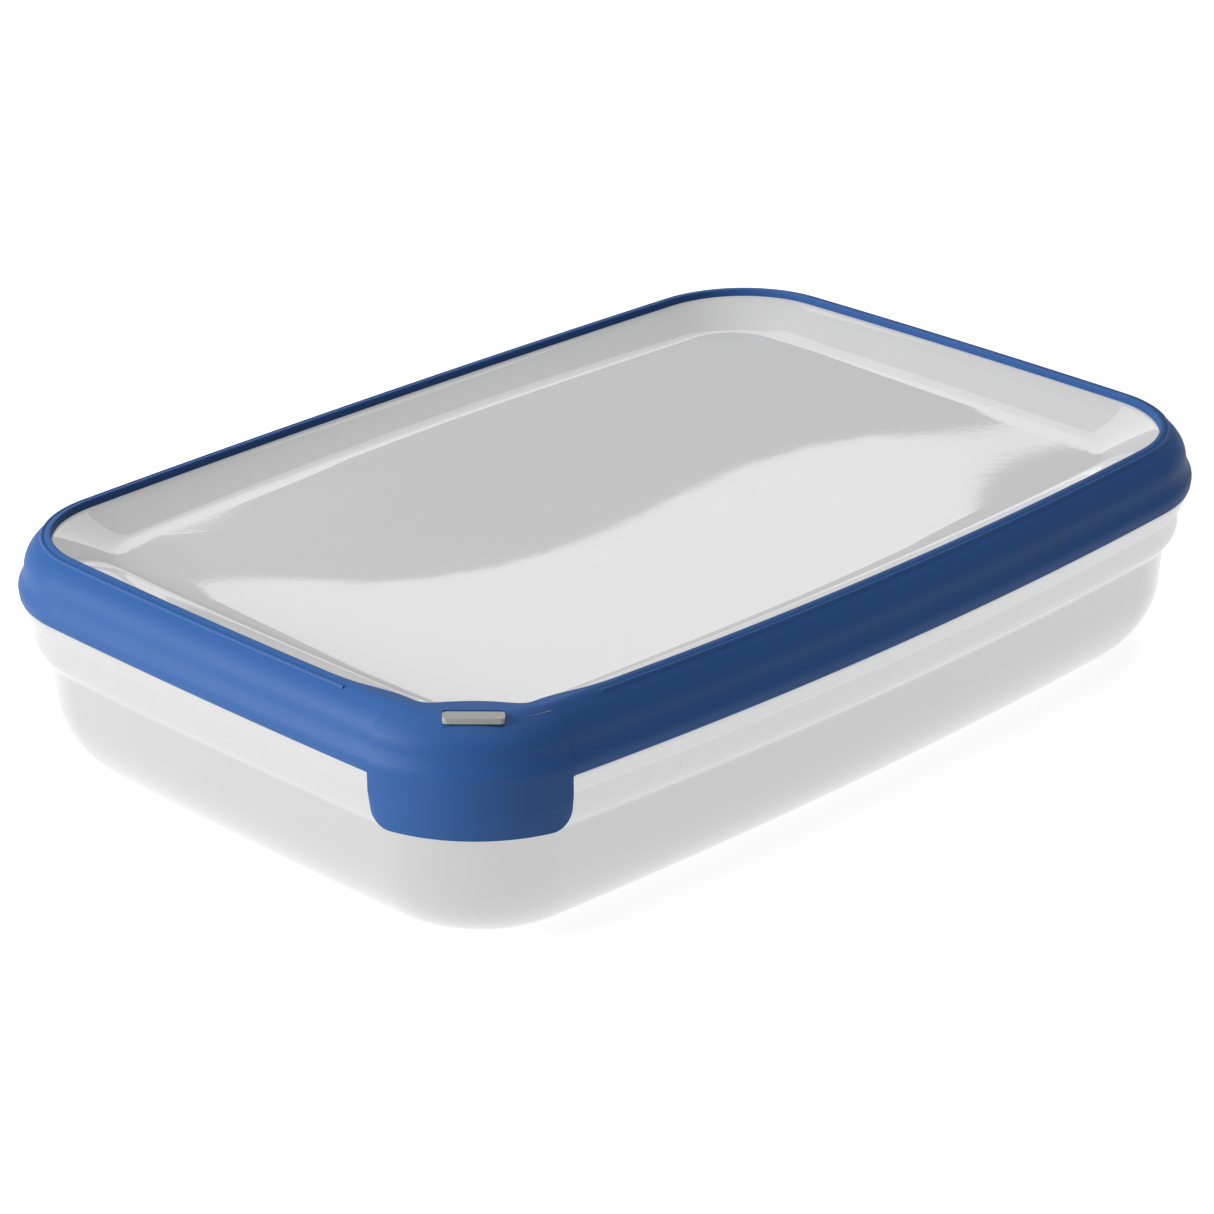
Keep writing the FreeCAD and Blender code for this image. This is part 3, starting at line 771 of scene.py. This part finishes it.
def makeRidge():
    curve = bpy.data.curves.new("ridgePath", "CURVE")
    curve.dimensions = "3D"
    spline = curve.splines.new("POLY")
    first, last = tabStop + tab["ridgeStop"], loopLength + tabStart - tab["ridgeStop"]
    steps = 420
    spline.points.add(steps)
    for step, spot in enumerate(spline.points):
        point, normal = stationAt(first + (last - first) * step / steps)
        place = point - normal * ridge["inset"]
        height = rimTop - ridge["drop"] - ridge["sink"] - sagAt(place.x, rimTop)
        spot.co = (place.x * mm, place.y * mm, height * mm, 1)
    path = bpy.data.objects.new("ridgePath", curve)
    bpy.context.collection.objects.link(path)
    modifier = path.modifiers.new("ridge", "NODES")
    modifier.node_group = ridgeTree()
    setInput(modifier, "Width", ridge["width"] * mm)
    setInput(modifier, "Height", (ridge["height"] + ridge["sink"]) * 2 * mm)
    setInput(modifier, "Finish", blueFinish)
    depsgraph = bpy.context.evaluated_depsgraph_get()
    mesh = bpy.data.meshes.new_from_object(path.evaluated_get(depsgraph))
    bpy.data.objects.remove(path)
    piece = bpy.data.objects.new("stackingRidge", mesh)
    bpy.context.collection.objects.link(piece)
    return piece


stackingRidge = makeRidge()
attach(stackingRidge, "lid")
print("ridge made")


# ---- lid panel ----

panel = {
    "edge": panelHigh[2] - 0.9, "thick": 1.5,
    "fieldHalfLength": 152.3, "fieldHalfWidth": 97.4, "fieldCorner": 20.0, "depth": 7.5, "dish": 1.0,
    "tongue": 0.2, "overlap": 0.07, "fieldRings": 36,
}


def panelSurface(drop):
    inside = arcPoints(insetArcs(rimWidth, rimWidth), 40, 30)
    field = arcPoints(outlineArcs(
        panel["fieldHalfLength"], panel["fieldHalfWidth"], panel["fieldCorner"],
        plan["longRadius"], plan["shortRadius"]), 40, 30)
    top, floor = panel["edge"], panel["edge"] - panel["depth"]
    slope = [(0.0, 0.0), (0.03, 0.015), (0.08, 0.06), (0.2, 0.18), (0.4, 0.4), (0.6, 0.62), (0.78, 0.82),
             (0.88, 0.92), (0.94, 0.965), (0.98, 0.988), (1.0, 0.996), (1.03, 1.0)]
    starts = []
    for outside, inward in zip(inside, field):
        start, way = Vector(outside), Vector(inward) - Vector(outside)
        met = crossing(start - way * 0.3, way, edgeLine) if start.x < -90 and start.y < 10 else None
        starts.append(max(met - 0.3, 0) if met else 0.0)
    rings = []
    if drop == 0:
        # the upper face starts with a tongue under the rim, where the rim isn't widened
        tongue = []
        for (x, y), (fx, fy), start in zip(inside, field, starts):
            reach = panel["tongue"] if start < 0.02 else 0.0
            tongue.append((x - (fx - x) * reach, y - (fy - y) * reach, top - 0.5))
        rings.append(tongue)
    for share, fall in slope:
        ring = []
        for (x, y), (fx, fy), start in zip(inside, field, starts):
            base = max(start - panel["overlap"], 0)
            there = base + (share - base) if share > base else base
            place = max(there, share)
            level = fall if place == share else place
            height = top - panel["depth"] * level
            across = x + (fx - x) * place
            lift = sagAt(across, height) * min(level, 1)  # the field itself stays flat
            ring.append((across, y + (fy - y) * place, height + lift - drop))
        rings.append(ring)
    for k in range(1, panel["fieldRings"]):
        share = 1 - k / panel["fieldRings"]
        ring = []
        for fx, fy in field:
            x, y = fx * share, fy * share
            hollow = (1 - (x / panel["fieldHalfLength"]) ** 2) * (1 - (y / panel["fieldHalfWidth"]) ** 2)
            ring.append((x, y, floor + sagAt(x, floor) - panel["dish"] * max(hollow, 0) - drop))
        rings.append(ring)
    return rings


def makePanel():
    upper, lower = panelSurface(0), panelSurface(panel["thick"])
    rings = list(reversed(upper)) + lower
    return ringMesh("lidPanel", rings, sharp=50)


lidPanel = makePanel()
lidPanel.data.materials.append(clearFinish)
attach(lidPanel, "lid")
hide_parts("lid_panel")
print("panel made")


# ---- plate in the tab's slot ----

plate = {"gap": 0.15, "bottomDrop": 2.3, "topDrop": 0.55}


def makeSlotPlate():
    outline = slotOutline(plate["gap"])
    heights = (rimTop - plate["bottomDrop"], rimTop - plate["topDrop"])
    return ringMesh("slotPlate", [[(p.x, p.y, z) for p in outline] for z in heights])


slotPlate = makeSlotPlate()
slotPlate.data.materials.append(plateFinish)
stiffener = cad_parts["tab_stiffener"]
stiffener.data.materials.clear()
stiffener.data.materials.append(plateFinish)
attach(slotPlate, "tab")


# ---- stage and light ----

stage = {
    "floorReach": 8.0, "floorGlow": 0.78, "air": 0.12,
    "rearDistance": 3.0, "rearEdge": 1.311, "rearSwing": 0.054, "rearSwingHalf": 0.3,
    "rearTop": 3.2, "rearHalf": 2.0, "rearGlow": 1.25,
}


def makeStage():
    mesh = bpy.data.meshes.new("floor")
    reach = stage["floorReach"]
    mesh.from_pydata([(-reach, -reach, 0), (reach, -reach, 0), (reach, reach, 0), (-reach, reach, 0)],
                     [], [(0, 1, 2, 3)])
    floor = bpy.data.objects.new("floor", mesh)
    bpy.context.collection.objects.link(floor)
    mesh.materials.append(plainFinish("pale floor", (0.4, 0.4, 0.4), 0.9, stage["floorGlow"]))


def addLight(name, place, target, size, power):
    data = bpy.data.lights.new(name, "AREA")
    data.shape = "RECTANGLE"
    data.size, data.size_y = size
    data.energy = power
    light = bpy.data.objects.new(name, data)
    bpy.context.collection.objects.link(light)
    light.location = place
    light.rotation_euler = (Vector(place) - Vector(target)).to_track_quat("Z", "Y").to_euler()


def makeRearCard():
    # large diffuser behind the box: its lower edge is what the lid's dished field reflects
    half, away = stage["rearHalf"], stage["rearDistance"]
    far, left = Vector((1, 1, 0)).normalized() * away, Vector((-1, 1, 0)).normalized()
    steps = 60
    lower, upper = [], []
    for step in range(steps + 1):
        across = half * (2 * step / steps - 1)
        turn = min(max(across / stage["rearSwingHalf"], -1), 1) * math.pi / 2
        edge = stage["rearEdge"] + stage["rearSwing"] * math.sin(turn)
        lower.append(tuple(far + left * across + Vector((0, 0, edge))))
        upper.append(tuple(far + left * across + Vector((0, 0, stage["rearTop"]))))
    mesh = bpy.data.meshes.new("rearDiffuser")
    mesh.from_pydata(lower + upper, [], [(k, k + 1, steps + 2 + k, steps + 1 + k) for k in range(steps)])
    card = bpy.data.objects.new("rearDiffuser", mesh)
    bpy.context.collection.objects.link(card)
    mesh.materials.append(plainFinish("bright diffuser", (0.8, 0.8, 0.8), 0.9, stage["rearGlow"]))


makeStage()
makeRearCard()
lights = {
    "leftSoftbox": {"place": (-1.8, 0.85, 0.7), "target": (0, 0, 0.05), "size": (1.0, 0.8), "power": 72},
    "topSoftbox": {"place": (-0.2, -0.1, 2.2), "target": (0, 0, 0), "size": (1.8, 1.8), "power": 40},
}
for name, light in lights.items():
    addLight(name, **light)
world = bpy.data.worlds.new("studio")
world.use_nodes = True
world.node_tree.nodes["Background"].inputs[0].default_value = (1, 1, 1, 1)
world.node_tree.nodes["Background"].inputs[1].default_value = stage["air"]
bpy.context.scene.world = world
bpy.context.scene.view_settings.view_transform = "Standard"
print("stage and lights set")
